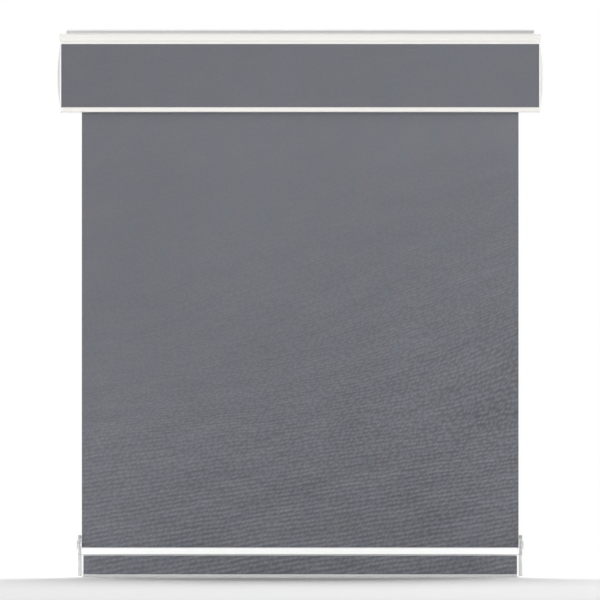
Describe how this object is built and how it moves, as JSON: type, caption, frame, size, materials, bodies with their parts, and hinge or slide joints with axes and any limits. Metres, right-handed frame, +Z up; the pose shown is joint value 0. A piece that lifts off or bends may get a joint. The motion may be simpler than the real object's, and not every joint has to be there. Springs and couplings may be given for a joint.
{
  "type": "roller blind",
  "caption": "Cassette roller blind: closed head box with fabric-faced fascia, sprung roller, hanging crepe curtain and fabric-faced bottom bar with full-width finger grip and side guide clips.",
  "frame": {"origin": "on the wall plane, in the middle of the line of wall screws in the mounting rail", "axes": "+X to the right seen from the room, +Y into the wall, +Z up; the front faces -Y"},
  "size_m": [0.4854, 0.0784, 0.5473],
  "materials": {
    "anodised_grey": "satin anodised",
    "powder_white": "smooth powder coat",
    "cap_white": "satin moulded plastic",
    "slate_fabric": "woven crepe, blackout coated",
    "clip_plastic": "translucent light grey",
    "eyelet_grey": "satin",
    "zinc_steel": "zinc plated",
    "spring_steel": "oiled spring wire",
    "tube_aluminium": "mill finish",
    "plug_grey": "moulded nylon",
    "bush_white": "acetal",
    "latch_grey": "moulded plastic",
    "brush_grey": "fine bristle strip",
    "weight_steel": "flat bar",
    "spline_clear": "extruded rod"
  },
  "bodies": {
    "cassette": {"mounting_rail": "anodised_grey", "head_profile": "powder_white", "top_cover": "powder_white", "fascia": "powder_white", "fascia_insert": "slate_fabric", "brush_seal": "brush_grey", "end_cap_left": "cap_white", "end_cap_right": "cap_white", "dome_cover_left": "cap_white", "dome_cover_right": "cap_white", "cap_screws_left": "zinc_steel", "cap_screws_right": "zinc_steel", "spring_shaft": "zinc_steel", "spring_anchor": "plug_grey", "torsion_spring": "spring_steel", "bearing_bush": "bush_white", "latch_guide_left": "cap_white", "latch_guide_right": "cap_white", "latch_spring_left": "spring_steel", "latch_spring_right": "spring_steel", "curtain": "slate_fabric"},
    "roller": {"roller_tube": "tube_aluminium", "fabric_roll": "slate_fabric", "spring_crown": "plug_grey", "idle_plug": "plug_grey", "idle_spring": "spring_steel"},
    "idle_plunger": {"idle_pin": "zinc_steel", "pin_clip": "spring_steel"},
    "latch_left_body": {"latch_left": "latch_grey"},
    "latch_right_body": {"latch_right": "latch_grey"},
    "bar": {"bottom_bar": "powder_white", "bar_insert": "slate_fabric", "bar_spline": "spline_clear", "bar_weight": "weight_steel", "bar_end_plate_left": "cap_white", "bar_end_plate_right": "cap_white", "guide_cap_left": "clip_plastic", "guide_cap_right": "clip_plastic", "guide_eyelet_left": "eyelet_grey", "guide_eyelet_right": "eyelet_grey"}
  },
  "joints": [
    {"name": "bar_travel", "type": "slide", "parent": "cassette", "child": "bar", "axis": [0, 0, 1], "range_m": [0, 0.418], "deforming": ["curtain"]},
    {"name": "roller_spin", "type": "hinge", "parent": "cassette", "child": "roller", "pos_m": [0, -0.042, -0.0325], "axis": [1, 0, 0], "range_deg": [0, 1405.6]},
    {"name": "idle_pin_slide", "type": "slide", "parent": "roller", "child": "idle_plunger", "axis": [-1, 0, 0], "range_m": [0, 0.0065], "stiffness_N_per_m": 800, "springref_m": -0.003, "deforming": ["idle_spring"]},
    {"name": "latch_left_slide", "type": "slide", "parent": "cassette", "child": "latch_left_body", "axis": [0, 0, -1], "range_m": [0, 0.006], "stiffness_N_per_m": 400, "springref_m": -0.002, "deforming": ["latch_spring_left"]},
    {"name": "latch_right_slide", "type": "slide", "parent": "cassette", "child": "latch_right_body", "axis": [0, 0, -1], "range_m": [0, 0.006], "stiffness_N_per_m": 400, "springref_m": -0.002, "deforming": ["latch_spring_right"]}
  ],
  "couplings": [
    {"joint": "roller_spin", "follows": "bar_travel", "rad_per_m": 58.48}
  ]
}
